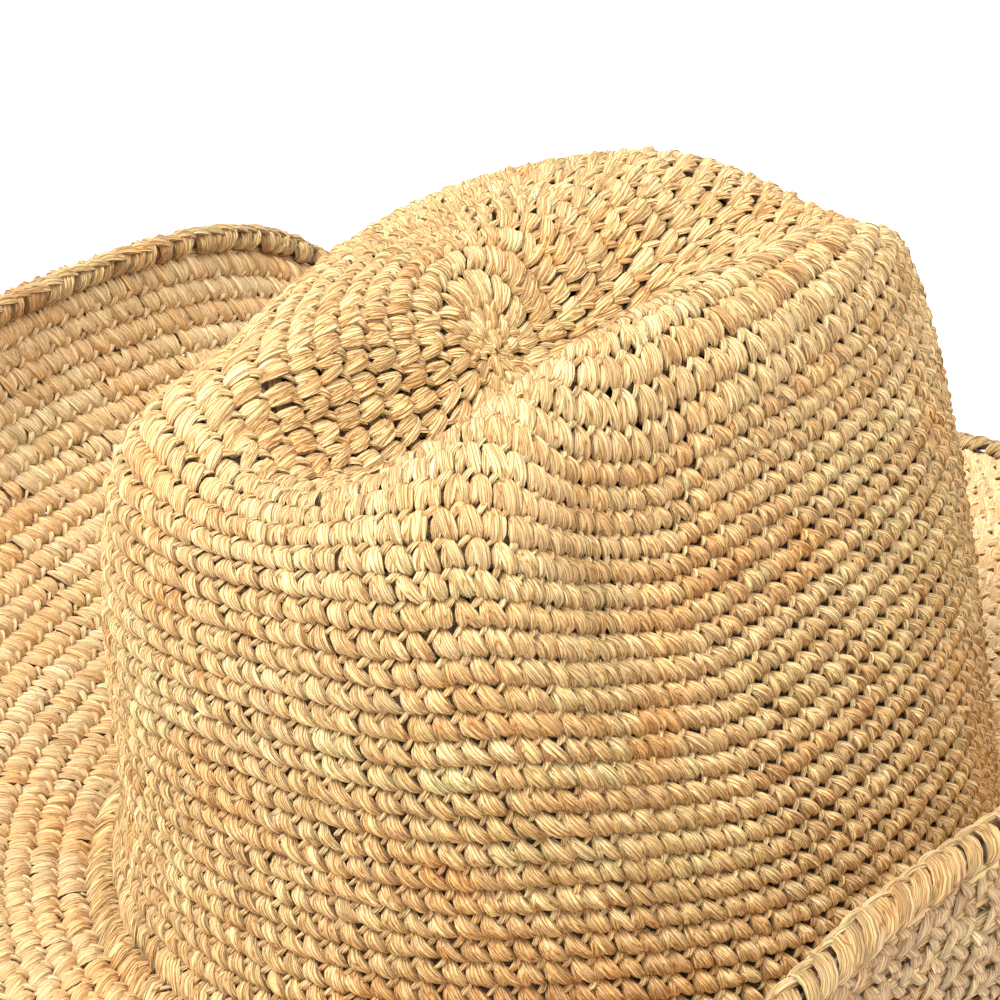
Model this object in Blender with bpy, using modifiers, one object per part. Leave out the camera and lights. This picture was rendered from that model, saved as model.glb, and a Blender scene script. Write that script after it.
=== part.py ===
"""A crocheted raffia cowboy hat.

The raffia is worked in rounds from the tip of the crown to the rim, so every place on it is
given by an angle round the crown and a distance along the work from the tip. hat_surface()
turns the two into a point, and each raffia piece is a loft between rounds of that surface.
Front is -Y, up is +Z, and the hat stands on the front and the back of its rim.
"""

import math

import bmesh
import bpy
import numpy as np
from mathutils import Matrix

# Crown, metres. Lengths run front to back, widths side to side, all over the raffia.
CROWN_LENGTH = 0.197
CROWN_WIDTH = 0.177
TOP_LENGTH = 0.176
TOP_WIDTH = 0.114
TOP_SQUARENESS = 3.2
CROWN_HEIGHT = 0.1295
SHOULDER_RADIUS = 0.0315
FILLET_RADIUS = 0.008
TIP_OFFSET = (-0.0096, -0.0082)

# The crown leans a little: up towards the back, and up towards +X.
BACK_RISE = 0.0055
SIDE_RISE = 0.177
SIDE_RISE_BACK = 0.0885

# Centre crease: depth at stations from front to back, half width, offset and turn.
CREASE_STATIONS = (-0.100, -0.080, -0.045, 0.000, 0.050, 0.080, 0.100)
CREASE_DEPTHS = (0.000, 0.009, 0.031, 0.031, 0.021, 0.007, 0.000)
CREASE_HALF_WIDTH = 0.0195
CREASE_OFFSET = 0.0063
CREASE_TURN = math.radians(-10)
CREASE_SHARPNESS = 2.6
CREASE_FOOT = 0.45

# Side dents, where the crown is pinched: they end sooner towards the front than the back.
DENT_DEPTH = 0.010
DENT_HALF_LENGTHS = (0.015, 0.040)
DENT_AT = (-0.048, 0.80)
DENT_HALF_HEIGHT = 0.34
DENT_FADE = (0.015, 0.045)

# The rounds sit lower on the +X side of the crown. The slip comes and goes between these angles,
# in degrees, grows to its full size over the rise from the tip, and fades out down the wall.
SLIP = 0.030
SLIP_START = (-53, -16)
SLIP_END = (20, 90)
SLIP_RISE = 0.055

# Brim: angles in radians. The curl starts further from the centre line at the back, and it is
# tighter on the +X side by the bias. The dip is the slope down at the front and the back.
BRIM_WIDTH = 0.1033
SIDE_START = 0.357
SIDE_CURL = 1.604
SIDE_CURL_BIAS = 0.283
BIAS_BLEND = 0.4
SIDE_FROM_FRONT = 0.21
SIDE_FROM_BACK = 0.62
BACK_BLEND = 0.6
BRIM_DIP = 0.05
DIP_EASE = 0.6
BRIM_STEPS = 16

# Raffia and trim
RAFFIA = 0.004
GAP = 0.0003
EDGE_RADIUS = 0.0032
EDGE_WALL = 0.0014
EDGE_MOUTH = math.radians(30)
REST_FLAT = 0.0007
WIRE_RADIUS = 0.0008
WIRE_END_GAP = 0.002
JOINER_LENGTH = 0.009
JOINER_BORE = 0.00115
JOINER_RADIUS = 0.0014
BAND_HEIGHT = 0.028
BAND_THICKNESS = 0.0009
BAND_END_GAP = 0.002
BAND_CLEARANCE = 0.0006
TAB_WIDTH = 0.014
THREAD_RADIUS = 0.0004
SEAM_INSET = 0.002
LABEL_WIDTH = 0.030
LABEL_HEIGHT = 0.018
LABEL_THICKNESS = 0.0006

SEGMENTS = 64
BACK = math.pi / 2

# Distances along the work from the tip, all from the dimensions above
TOP_RADIUS = (TOP_LENGTH + TOP_WIDTH) / 4
BASE_RADIUS = (CROWN_LENGTH + CROWN_WIDTH) / 4
LEAN = math.atan2(BASE_RADIUS - TOP_RADIUS, CROWN_HEIGHT - SHOULDER_RADIUS)
FLAT_END = TOP_RADIUS - SHOULDER_RADIUS
SHOULDER_END = FLAT_END + SHOULDER_RADIUS * (math.pi / 2 - LEAN)
WALL_TOP = CROWN_HEIGHT - SHOULDER_RADIUS * (1 - math.sin(LEAN))
WALL_FOOT = FILLET_RADIUS * (1 - math.sin(LEAN))
WALL_END = SHOULDER_END + (WALL_TOP - WALL_FOOT) / math.cos(LEAN)
FILLET_END = WALL_END + FILLET_RADIUS * (math.pi / 2 - LEAN)
RIM = FILLET_END + BRIM_WIDTH
EDGE_CENTRE = RIM - EDGE_RADIUS
BRIM_END = EDGE_CENTRE - EDGE_RADIUS - GAP

# Depths of the trim's outer faces below the raffia's outer face
BAND_DEPTH = RAFFIA + BAND_CLEARANCE
TAB_DEPTH = BAND_DEPTH + BAND_THICKNESS + GAP
LABEL_DEPTH = TAB_DEPTH + BAND_THICKNESS + GAP


def smooth(low, high, value):
    """Cubic step from 0 at low to 1 at high."""
    t = np.clip((value - low) / (high - low), 0, 1)
    return t * t * (3 - 2 * t)


def through(stations, values, at):
    """Smooth curve through a few stations (cubic Hermite)."""
    stations = np.array(stations)
    values = np.array(values)
    slopes = np.gradient(values, stations)
    at = np.clip(at, stations[0], stations[-1])
    i = np.clip(np.searchsorted(stations, at) - 1, 0, len(stations) - 2)
    step = stations[i + 1] - stations[i]
    t = (at - stations[i]) / step
    start = (2 * t**3 - 3 * t**2 + 1) * values[i] + (t**3 - 2 * t**2 + t) * step * slopes[i]
    end = (3 * t**2 - 2 * t**3) * values[i + 1] + (t**3 - t**2) * step * slopes[i + 1]
    return start + end


def profile(s):
    """Mean radius and height of the uncreased crown at a distance s along the work."""
    shoulder = (s - FLAT_END) / SHOULDER_RADIUS
    down = s - SHOULDER_END
    fillet = LEAN + (s - WALL_END) / FILLET_RADIUS
    wall_radius = FLAT_END + SHOULDER_RADIUS * math.cos(LEAN)
    foot_radius = wall_radius + (WALL_TOP - WALL_FOOT) * math.tan(LEAN) + FILLET_RADIUS * math.cos(LEAN)
    zones = [s < FLAT_END, s < SHOULDER_END, s < WALL_END, s < FILLET_END]
    radius = np.select(zones, [
        s,
        FLAT_END + SHOULDER_RADIUS * np.sin(shoulder),
        wall_radius + down * math.sin(LEAN),
        foot_radius - FILLET_RADIUS * np.cos(fillet),
    ], foot_radius)
    height = np.select(zones, [
        CROWN_HEIGHT,
        CROWN_HEIGHT - SHOULDER_RADIUS * (1 - np.cos(shoulder)),
        WALL_TOP - down * math.cos(LEAN),
        FILLET_RADIUS * (1 - np.sin(fillet)),
    ], 0.0)
    return radius, height


def crease_and_dents(x, y, z, crown):
    """The crown's lean, its centre crease and the dent in each side."""
    up = z / CROWN_HEIGHT
    back = y / (CROWN_LENGTH / 2)
    z = z + up * crown * (BACK_RISE * back + (SIDE_RISE + SIDE_RISE_BACK * back) * x)
    across = x * math.cos(CREASE_TURN) + y * math.sin(CREASE_TURN) - CREASE_OFFSET
    valley = np.exp(-np.abs(across / CREASE_HALF_WIDTH) ** CREASE_SHARPNESS)
    z = z - through(CREASE_STATIONS, CREASE_DEPTHS, y) * valley * smooth(CREASE_FOOT, 1, up) * crown
    along = y - DENT_AT[0]
    along = along / np.where(along < 0, *DENT_HALF_LENGTHS)
    above = (up - DENT_AT[1]) / DENT_HALF_HEIGHT
    dent = DENT_DEPTH * np.exp(-along**2 - above**2) * crown
    x = x - np.sign(x) * dent * smooth(*DENT_FADE, np.abs(x))
    return x, y, z


def brim_run(out, nx, ny):
    """Distance out and height gained by brim that leaves the crown along (nx, ny)."""
    back = smooth(-BACK_BLEND, BACK_BLEND, ny)
    side = smooth(SIDE_FROM_FRONT + (SIDE_FROM_BACK - SIDE_FROM_FRONT) * back, 1.0, np.abs(nx))
    bias = 1 - SIDE_CURL_BIAS * (smooth(BIAS_BLEND, -BIAS_BLEND, nx) - 0.5)
    share = out / BRIM_WIDTH
    run = np.zeros_like(out)
    rise = np.zeros_like(out)
    for i in range(BRIM_STEPS):
        t = share * (i + 0.5) / BRIM_STEPS
        angle = SIDE_START * side - BRIM_DIP * (1 - side) * (1 - DIP_EASE * t)
        angle = angle + SIDE_CURL * side * bias * (t + t * t) / 2
        run += np.cos(angle) * out / BRIM_STEPS
        rise += np.sin(angle) * out / BRIM_STEPS
    return run, rise


def row_slip(theta, s):
    """How far along the work the rounds have slipped from where they would lie evenly."""
    turned = np.degrees((theta + math.pi) % (2 * math.pi) - math.pi)
    share = smooth(*SLIP_START, turned) - smooth(*SLIP_END, turned)
    fade = np.clip((FILLET_END - s) / (FILLET_END - SLIP_RISE), 0, 1)
    return SLIP * share * smooth(0, SLIP_RISE, s) * fade


def hat_surface(theta, s):
    """Point of the raffia's outer face, before the hat is set on its origin."""
    theta, s = np.broadcast_arrays(np.asarray(theta, float), np.asarray(s, float))
    s = s + row_slip(theta, s)
    radius, z = profile(s)
    down_wall = smooth(SHOULDER_END, WALL_END, s)
    on_top = smooth(0, SHOULDER_END, s)
    top_ratio = (TOP_LENGTH - TOP_WIDTH) / (TOP_LENGTH + TOP_WIDTH)
    base_ratio = (CROWN_LENGTH - CROWN_WIDTH) / (CROWN_LENGTH + CROWN_WIDTH)
    ratio = np.where(s > SHOULDER_END, top_ratio + (base_ratio - top_ratio) * down_wall, top_ratio * on_top)
    power = 2 + (TOP_SQUARENESS - 2) * np.where(s > SHOULDER_END, 1 - down_wall, on_top)
    cos, sin = np.cos(theta), np.sin(theta)
    square = (np.abs(cos) ** power + np.abs(sin) ** power) ** (-1 / power)
    from_tip = 1 - smooth(0, WALL_END, s)
    x = radius * (1 - ratio) * cos * square + TIP_OFFSET[0] * from_tip
    y = radius * (1 + ratio) * sin * square + TIP_OFFSET[1] * from_tip
    nx = cos / (1 - base_ratio)
    ny = sin / (1 + base_ratio)
    length = np.hypot(nx, ny)
    nx, ny = nx / length, ny / length
    run, rise = brim_run(np.maximum(s - FILLET_END, 0), nx, ny)
    x, y, z = crease_and_dents(x + nx * run, y + ny * run, z, s < FILLET_END)
    return np.stack([x, y, z + rise], -1)


def directions(theta, s):
    """Unit vectors at a place on the raffia: outward face normal, and away from the tip."""
    step = 1e-4
    near = np.maximum(s - step, 1e-5)
    away = hat_surface(theta, near + 2 * step) - hat_surface(theta, near)
    around = hat_surface(theta + step, np.maximum(s, 1e-3)) - hat_surface(theta - step, np.maximum(s, 1e-3))
    away /= np.linalg.norm(away, axis=-1, keepdims=True)
    normal = np.cross(away, around)
    normal /= np.linalg.norm(normal, axis=-1, keepdims=True)
    return normal, away


def set_on_origin():
    """Shift that puts the rim's bounding box over the origin and the edge's lowest parts at z = 0."""
    theta = np.linspace(0, 2 * math.pi, 721)
    _, away = directions(theta, np.full_like(theta, EDGE_CENTRE))
    centre = hat_surface(theta, np.full_like(theta, EDGE_CENTRE))
    outside = centre + away * EDGE_RADIUS
    middle = (outside.min(axis=0) + outside.max(axis=0)) / 2
    lowest = centre[:, 2].min() - RAFFIA / 2 - EDGE_RADIUS
    return np.array([-middle[0], -middle[1], -REST_FLAT - lowest])


SHIFT = set_on_origin()


def skin(theta, s, depth=0.0):
    """Point at a depth below the raffia's outer face, in the hat's own frame."""
    theta, s = np.broadcast_arrays(np.asarray(theta, float), np.asarray(s, float))
    normal, _ = directions(theta, s)
    return hat_surface(theta, s) - normal * depth + SHIFT


def material(name, colour, roughness, metallic=0.0):
    """Principled material with one colour."""
    made = bpy.data.materials.new(name)
    made.use_nodes = True
    shader = made.node_tree.nodes["Principled BSDF"]
    shader.inputs["Base Color"].default_value = (*colour, 1.0)
    shader.inputs["Roughness"].default_value = roughness
    shader.inputs["Metallic"].default_value = metallic
    return made


def add_object(name, data, finish, parent, collection):
    """Put a mesh or curve in the hat's collection."""
    made = bpy.data.objects.new(name, data)
    made.data.materials.append(finish)
    made.parent = parent
    collection.objects.link(made)
    return made


def loft(name, rings, closed_round=True, closed_across=True, tips=None):
    """Mesh that joins rings of points in turn, closed round each ring and back to the first one.

    tips are two points that close a first and a last ring instead. Where the rings are open,
    flat ends close the section that they run through.
    """
    work = bmesh.new()
    rows = [[work.verts.new(point) for point in ring] for ring in rings]
    count = len(rows[0])
    spans = count if closed_round else count - 1
    pairs = list(zip(rows, rows[1:]))
    if closed_across:
        pairs.append((rows[-1], rows[0]))
    for a, b in pairs:
        for i in range(spans):
            j = (i + 1) % count
            work.faces.new((a[i], b[i], b[j], a[j]))
    if tips is not None:
        for ring, tip in ((rows[0], tips[0]), (rows[-1], tips[1])):
            centre = work.verts.new(tip)
            for i in range(spans):
                work.faces.new((centre, ring[i], ring[(i + 1) % count]))
    if not closed_round:
        work.faces.new([row[0] for row in rows])
        work.faces.new([row[-1] for row in rows])
    bmesh.ops.recalc_face_normals(work, faces=work.faces)
    bmesh.ops.triangulate(work, faces=[face for face in work.faces if len(face.verts) > 4])
    mesh = bpy.data.meshes.new(name)
    work.to_mesh(mesh)
    work.free()
    mesh.shade_smooth()
    mesh.set_sharp_from_angle(angle=math.radians(40))
    return mesh


def full_turn():
    """Angles of the segments round the hat."""
    return np.arange(SEGMENTS) * 2 * math.pi / SEGMENTS


def shell(name, start, end, rounds, depth=0.0, thickness=RAFFIA):
    """Closed band of the hat between two distances along the work."""
    stations = np.linspace(start, end, rounds)
    outer = [skin(full_turn(), s, depth) for s in stations]
    inner = [skin(full_turn(), s, depth + thickness) for s in reversed(stations)]
    return loft(name, outer + inner)


def tip_shell(name, end, rounds):
    """The crown's top: a dished disc, closed at its middle."""
    stations = np.linspace(end / rounds, end, rounds)
    outer = [skin(full_turn(), s) for s in stations]
    inner = [skin(full_turn(), s, RAFFIA) for s in reversed(stations)]
    middle = 1e-4
    tips = (skin(0.0, middle), skin(0.0, middle, RAFFIA))
    return loft(name, outer + inner, closed_across=False, tips=tips)


def edge_round(name):
    """The rim's last round: a tube round the shaping wire, open towards the brim."""
    theta = full_turn()
    normal, away = directions(theta, np.full_like(theta, EDGE_CENTRE))
    centre = skin(theta, EDGE_CENTRE, RAFFIA / 2)
    angles = np.linspace(EDGE_MOUTH - math.pi, math.pi - EDGE_MOUTH, 7)
    outer = [(EDGE_RADIUS, a) for a in angles]
    inner = [(EDGE_RADIUS - EDGE_WALL, a) for a in reversed(angles)]
    rings = [centre + r * (math.cos(a) * away + math.sin(a) * normal) for r, a in outer + inner]
    return loft(name, rings)


def wire_curve(name, points, radius, sides_step=1):
    """Round wire or thread through a row of points."""
    curve = bpy.data.curves.new(name, "CURVE")
    curve.dimensions = "3D"
    curve.bevel_depth = radius
    curve.bevel_resolution = sides_step
    curve.use_fill_caps = True
    spline = curve.splines.new("POLY")
    spline.points.add(len(points) - 1)
    for place, point in zip(spline.points, points):
        place.co = (*point, 1.0)
    return curve


def open_turn(gap, radius, count):
    """Angles once round the hat from the back, leaving a gap there."""
    half = gap / (2 * radius)
    return np.linspace(BACK + half, BACK + 2 * math.pi - half, count)


def sweatband(name):
    """Ribbon inside the foot of the crown, its ends meeting at the back."""
    theta = open_turn(BAND_END_GAP, CROWN_LENGTH / 2, SEGMENTS)
    stations = np.linspace(WALL_END - BAND_HEIGHT, WALL_END, 3)
    outer = [skin(theta, s, BAND_DEPTH) for s in stations]
    inner = [skin(theta, s, BAND_DEPTH + BAND_THICKNESS) for s in reversed(stations)]
    return loft(name, outer + inner, closed_round=False)


def band_tab(name):
    """Short ribbon that covers the ends of the sweatband."""
    half = TAB_WIDTH / CROWN_LENGTH
    theta = np.linspace(BACK - half, BACK + half, 5)
    stations = np.linspace(WALL_END - BAND_HEIGHT, WALL_END, 3)
    outer = [skin(theta, s, TAB_DEPTH) for s in stations]
    inner = [skin(theta, s, TAB_DEPTH + BAND_THICKNESS) for s in reversed(stations)]
    return loft(name, outer + inner, closed_round=False)


def joiner(name, finish, parent, collection):
    """Turned sleeve over the two ends of the wire."""
    half = JOINER_LENGTH / 2
    outline = [(JOINER_RADIUS, half), (JOINER_RADIUS, -half), (JOINER_BORE, -half), (JOINER_BORE, half)]
    mesh = bpy.data.meshes.new(name)
    work = bmesh.new()
    corners = [work.verts.new((r, 0.0, z)) for r, z in outline]
    for i in range(len(corners)):
        work.edges.new((corners[i], corners[(i + 1) % len(corners)]))
    work.to_mesh(mesh)
    work.free()
    made = add_object(name, mesh, finish, parent, collection)
    place = skin(BACK, EDGE_CENTRE, RAFFIA / 2)
    made.matrix_world = Matrix.Translation(place) @ Matrix.Rotation(math.pi / 2, 4, "Y")
    turn = made.modifiers.new("turn", "SCREW")
    turn.steps = 16
    turn.render_steps = 16
    turn.use_merge_vertices = True
    turn.merge_threshold = 0.00001
    return made


def cut_flat(target, cutters):
    """Plane the rim's underside level where the hat rests."""
    bpy.ops.mesh.primitive_cube_add(size=1)
    floor = bpy.context.object
    floor.name = "rest_cutter"
    depth = 0.02
    floor.scale = (1.0, 1.0, depth)
    floor.location = (0, 0, -depth / 2)
    floor.hide_render = True
    floor.display_type = "WIRE"
    for holder in list(floor.users_collection):
        holder.objects.unlink(floor)
    cutters.objects.link(floor)
    cut = target.modifiers.new("rest", "BOOLEAN")
    cut.operation = "DIFFERENCE"
    cut.solver = "EXACT"
    cut.object = floor


def label_parts(root, collection, finish, thread):
    """Blank label that hangs inside the back of the crown from its stitched top edge."""
    face = skin(BACK, WALL_END - BAND_HEIGHT + SEAM_INSET, LABEL_DEPTH)
    axis = face - np.array([0.0, THREAD_RADIUS + GAP, 0.0])
    half = LABEL_WIDTH / 2
    seam = [axis + np.array([x, 0, 0]) for x in (-half, 0.0, half)]
    add_object("label_thread", wire_curve("label_thread", seam, THREAD_RADIUS), thread, root, collection)
    hinge = bpy.data.objects.new("label_hinge", None)
    hinge.location = axis
    hinge.parent = root
    collection.objects.link(hinge)
    bpy.ops.mesh.primitive_cube_add(size=1)
    label = bpy.context.object
    label.name = "label"
    label.dimensions = (LABEL_WIDTH, LABEL_THICKNESS, LABEL_HEIGHT)
    label.data.materials.append(finish)
    for holder in list(label.users_collection):
        holder.objects.unlink(label)
    collection.objects.link(label)
    label.parent = hinge
    label.location = (0, 0, -THREAD_RADIUS - GAP - LABEL_HEIGHT / 2)


def build():
    """Make every piece of the hat."""
    for old in list(bpy.data.objects):
        bpy.data.objects.remove(old, do_unlink=True)
    hat = bpy.data.collections.new("cowboy_hat")
    cutters = bpy.data.collections.new("cutters")
    bpy.context.scene.collection.children.link(hat)
    bpy.context.scene.collection.children.link(cutters)
    root = bpy.data.objects.new("hat", None)
    hat.objects.link(root)

    raffia_top = material("raffia_top", (0.80, 0.66, 0.43), 0.62)
    raffia_side = material("raffia_side", (0.78, 0.62, 0.39), 0.62)
    raffia_brim = material("raffia_brim", (0.77, 0.58, 0.35), 0.62)
    raffia_edge = material("raffia_edge", (0.74, 0.60, 0.37), 0.62)
    steel = material("steel", (0.60, 0.60, 0.62), 0.35, 1.0)
    ribbon = material("ribbon", (0.72, 0.65, 0.52), 0.80)
    thread = material("thread", (0.86, 0.82, 0.72), 0.70)
    woven = material("woven", (0.90, 0.88, 0.83), 0.80)

    add_object("crown_top", tip_shell("crown_top", SHOULDER_END - 2 * GAP, 12), raffia_top, root, hat)
    add_object("crown_side", shell("crown_side", SHOULDER_END, FILLET_END - GAP, 9), raffia_side, root, hat)
    add_object("brim", shell("brim", FILLET_END, BRIM_END, 9), raffia_brim, root, hat)
    edge = add_object("brim_edge", edge_round("brim_edge"), raffia_edge, root, hat)
    cut_flat(edge, cutters)

    turn = open_turn(WIRE_END_GAP, CROWN_LENGTH / 2 + BRIM_WIDTH, SEGMENTS + 1)
    wire = wire_curve("brim_wire", skin(turn, EDGE_CENTRE, RAFFIA / 2), WIRE_RADIUS)
    add_object("brim_wire", wire, steel, root, hat)
    joiner("wire_joiner", steel, root, hat)

    add_object("sweatband", sweatband("sweatband"), ribbon, root, hat)
    add_object("sweatband_tab", band_tab("sweatband_tab"), ribbon, root, hat)
    seam = open_turn(TAB_WIDTH + 2 * BAND_THICKNESS, CROWN_LENGTH / 2, SEGMENTS - 2)
    row = skin(seam, WALL_END - SEAM_INSET, TAB_DEPTH + THREAD_RADIUS)
    add_object("sweatband_thread", wire_curve("sweatband_thread", row, THREAD_RADIUS, 0), thread, root, hat)
    label_parts(root, hat, woven, thread)


build()
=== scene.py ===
"""Looks of the crocheted raffia cowboy hat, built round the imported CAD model.

The raffia is worked in rounds from the tip of the crown to the rim. A place on it is an angle
round the crown and a distance along the work from the tip, as in the CAD source, and
hat_surface() is the same surface. Every stitch is modelled: two bundles of raffia and a joining
strand on the right side, and three flat strips on the wrong side. A core runs round inside each
round of stitches, and wraps cover the rim. Metres, +Z up, front is -Y.
"""

import math

import bpy
import numpy as np
from mathutils import Matrix, Vector


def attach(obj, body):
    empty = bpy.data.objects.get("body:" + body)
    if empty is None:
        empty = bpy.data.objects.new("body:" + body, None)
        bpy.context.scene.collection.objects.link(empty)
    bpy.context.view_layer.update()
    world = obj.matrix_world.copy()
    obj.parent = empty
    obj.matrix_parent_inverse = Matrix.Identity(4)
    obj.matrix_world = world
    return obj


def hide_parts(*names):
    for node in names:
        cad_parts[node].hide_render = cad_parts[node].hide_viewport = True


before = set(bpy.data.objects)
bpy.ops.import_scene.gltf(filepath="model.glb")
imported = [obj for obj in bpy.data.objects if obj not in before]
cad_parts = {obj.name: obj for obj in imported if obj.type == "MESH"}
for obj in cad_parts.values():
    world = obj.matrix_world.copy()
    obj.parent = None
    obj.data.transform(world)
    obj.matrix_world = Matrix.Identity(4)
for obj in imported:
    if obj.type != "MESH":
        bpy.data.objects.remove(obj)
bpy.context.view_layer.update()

MM = 0.001

# All of the shape's dimensions are the CAD source's. Crown: lengths run front to back, widths side
# to side, all over the raffia. It leans up towards the back, and up towards +X.
CROWN_LENGTH = 0.197
CROWN_WIDTH = 0.177
TOP_LENGTH = 0.176
TOP_WIDTH = 0.114
TOP_SQUARENESS = 3.2
CROWN_HEIGHT = 0.1295
SHOULDER_RADIUS = 0.0315
FILLET_RADIUS = 0.008
TIP_OFFSET = (-0.0096, -0.0082)
BACK_RISE = 0.0055
SIDE_RISE = 0.177
SIDE_RISE_BACK = 0.0885

# Centre crease: depth at stations from front to back, half width, offset and turn
CREASE_STATIONS = (-0.100, -0.080, -0.045, 0.000, 0.050, 0.080, 0.100)
CREASE_DEPTHS = (0.000, 0.009, 0.031, 0.031, 0.021, 0.007, 0.000)
CREASE_HALF_WIDTH = 0.0195
CREASE_OFFSET = 0.0063
CREASE_TURN = math.radians(-10)
CREASE_SHARPNESS = 2.6
CREASE_FOOT = 0.45

# Side dents, where the crown is pinched: they end sooner towards the front than the back. The
# middle of each is a distance along the hat and a share of the crown's height.
DENT_DEPTH = 0.010
DENT_HALF_LENGTHS = (0.015, 0.040)
DENT_AT = (-0.048, 0.80)
DENT_HALF_HEIGHT = 0.34
DENT_FADE = (0.015, 0.045)

# The rounds sit lower on the +X side of the crown. The slip comes and goes between these angles,
# in degrees, grows to its full size over the rise from the tip, and fades out down the wall.
SLIP = 0.030
SLIP_START = (-53, -16)
SLIP_END = (20, 90)
SLIP_RISE = 0.055

# Brim: angles in radians. The curl starts further from the centre line at the back, and it is
# tighter on the +X side by the bias. The dip is the slope down at the front and the back.
BRIM_WIDTH = 0.1033
SIDE_START = 0.357
SIDE_CURL = 1.604
SIDE_CURL_BIAS = 0.283
BIAS_BLEND = 0.4
SIDE_FROM_FRONT = 0.21
SIDE_FROM_BACK = 0.62
BACK_BLEND = 0.6
BRIM_DIP = 0.05
DIP_EASE = 0.6
BRIM_STEPS = 16

# Raffia and trim. Each depth is that of a face below the raffia's outer face.
RAFFIA = 0.004
EDGE_RADIUS = 0.0032
REST_FLAT = 0.0007
WIRE_RADIUS = 0.0008
JOINER_LENGTH = 0.009
JOINER_RADIUS = 0.0014
BAND_HEIGHT = 0.028
BAND_THICKNESS = 0.0009
BAND_DEPTH = 0.0046
TAB_WIDTH = 0.014
TAB_DEPTH = 0.0058
LABEL_DEPTH = 0.0070
LABEL_WIDTH = 0.030
LABEL_HEIGHT = 0.018
LABEL_THICKNESS = 0.0006
SEAM_INSET = 0.002
HINGE_OFFSET = 0.0007
END_GAP = 0.002
BACK = math.pi / 2

# Distances along the work from the tip, all from the dimensions above
TOP_RADIUS = (TOP_LENGTH + TOP_WIDTH) / 4
BASE_RADIUS = (CROWN_LENGTH + CROWN_WIDTH) / 4
LEAN = math.atan2(BASE_RADIUS - TOP_RADIUS, CROWN_HEIGHT - SHOULDER_RADIUS)
FLAT_END = TOP_RADIUS - SHOULDER_RADIUS
SHOULDER_END = FLAT_END + SHOULDER_RADIUS * (math.pi / 2 - LEAN)
WALL_TOP = CROWN_HEIGHT - SHOULDER_RADIUS * (1 - math.sin(LEAN))
WALL_FOOT = FILLET_RADIUS * (1 - math.sin(LEAN))
WALL_END = SHOULDER_END + (WALL_TOP - WALL_FOOT) / math.cos(LEAN)
FILLET_END = WALL_END + FILLET_RADIUS * (math.pi / 2 - LEAN)
EDGE_CENTRE = FILLET_END + BRIM_WIDTH - EDGE_RADIUS
BRIM_END = EDGE_CENTRE - EDGE_RADIUS

# The crochet. The tip starts with low rounds, given by their places in full rounds and their heights
ROUNDS = 54
ROW = BRIM_END / ROUNDS
TIP_ROUNDS = ((0.30, 0.6), (0.78, 0.6))
STITCH = 0.0047
FIRST_STITCHES = 4
TOP_ROUNDS = round(SHOULDER_END / ROW)
SIDE_ROUNDS = round(FILLET_END / ROW)
NEAREST_TIP = 0.0004
LEAST_FLOOR = 0.0002

# Stitches in a piece and in a strand, and how far apart the rounds' first strand numbers are
PIECE_STITCHES = 400
STRAND_STITCHES = 13
ROUND_STRANDS = 40

# Depths below the raffia's face at which flattened bundles and the cores lie
FLAT_DEPTH = 1.2 * MM
CORE_DEPTH = 2.5 * MM

# The wraps round the rim and the strands that run along it
WRAP_PITCH = 0.0041
WRAP_REACH = 2.9
WRAP_SLANT = 0.0036
WRAP_INSET = 0.0009
WRAP_HALF_WIDTH = 0.0022
WRAP_HALF_HEIGHT = 0.0013
LINE_PITCH = 0.0046
LINE_ANGLE = 0.45
LINE_HALF_WIDTH = 0.0012

# The trim's weave and sewing
RIB = 0.0009
RUNNING_STITCHES = 128
RUNNING_LENGTH = 0.0031
RUNNING_RADIUS = 0.00038
EDGE_THREAD_RADIUS = 0.0003
WHIP_THREAD_RADIUS = 0.00022
WHIP_RADIUS = 0.0009
WHIP_HALF_LEAN = 0.0004
WHIPS = 9


# ---------------------------------------------------------------- surface

def smooth(low, high, value):
    """Cubic step from 0 at low to 1 at high."""
    t = np.clip((value - low) / (high - low), 0, 1)
    return t * t * (3 - 2 * t)


def through(places, values, at):
    """Smooth curve through values at a few places (cubic Hermite)."""
    places = np.array(places, float)
    values = np.array(values, float)
    slopes = np.gradient(values, places)
    at = np.clip(at, places[0], places[-1])
    i = np.clip(np.searchsorted(places, at) - 1, 0, len(places) - 2)
    step = places[i + 1] - places[i]
    t = (at - places[i]) / step
    start = (2 * t**3 - 3 * t**2 + 1) * values[i] + (t**3 - 2 * t**2 + t) * step * slopes[i]
    end = (3 * t**2 - 2 * t**3) * values[i + 1] + (t**3 - t**2) * step * slopes[i + 1]
    return start + end


def profile(s):
    """Mean radius and height of the uncreased crown at a distance s along the work."""
    shoulder = (s - FLAT_END) / SHOULDER_RADIUS
    down = s - SHOULDER_END
    fillet = LEAN + (s - WALL_END) / FILLET_RADIUS
    wall_radius = FLAT_END + SHOULDER_RADIUS * math.cos(LEAN)
    wall_run = (WALL_TOP - WALL_FOOT) * math.tan(LEAN)
    foot_radius = wall_radius + wall_run + FILLET_RADIUS * math.cos(LEAN)
    zones = [s < FLAT_END, s < SHOULDER_END, s < WALL_END, s < FILLET_END]
    radius = np.select(zones, [
        s,
        FLAT_END + SHOULDER_RADIUS * np.sin(shoulder),
        wall_radius + down * math.sin(LEAN),
        foot_radius - FILLET_RADIUS * np.cos(fillet),
    ], foot_radius)
    height = np.select(zones, [
        CROWN_HEIGHT,
        CROWN_HEIGHT - SHOULDER_RADIUS * (1 - np.cos(shoulder)),
        WALL_TOP - down * math.cos(LEAN),
        FILLET_RADIUS * (1 - np.sin(fillet)),
    ], 0.0)
    return radius, height


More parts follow.
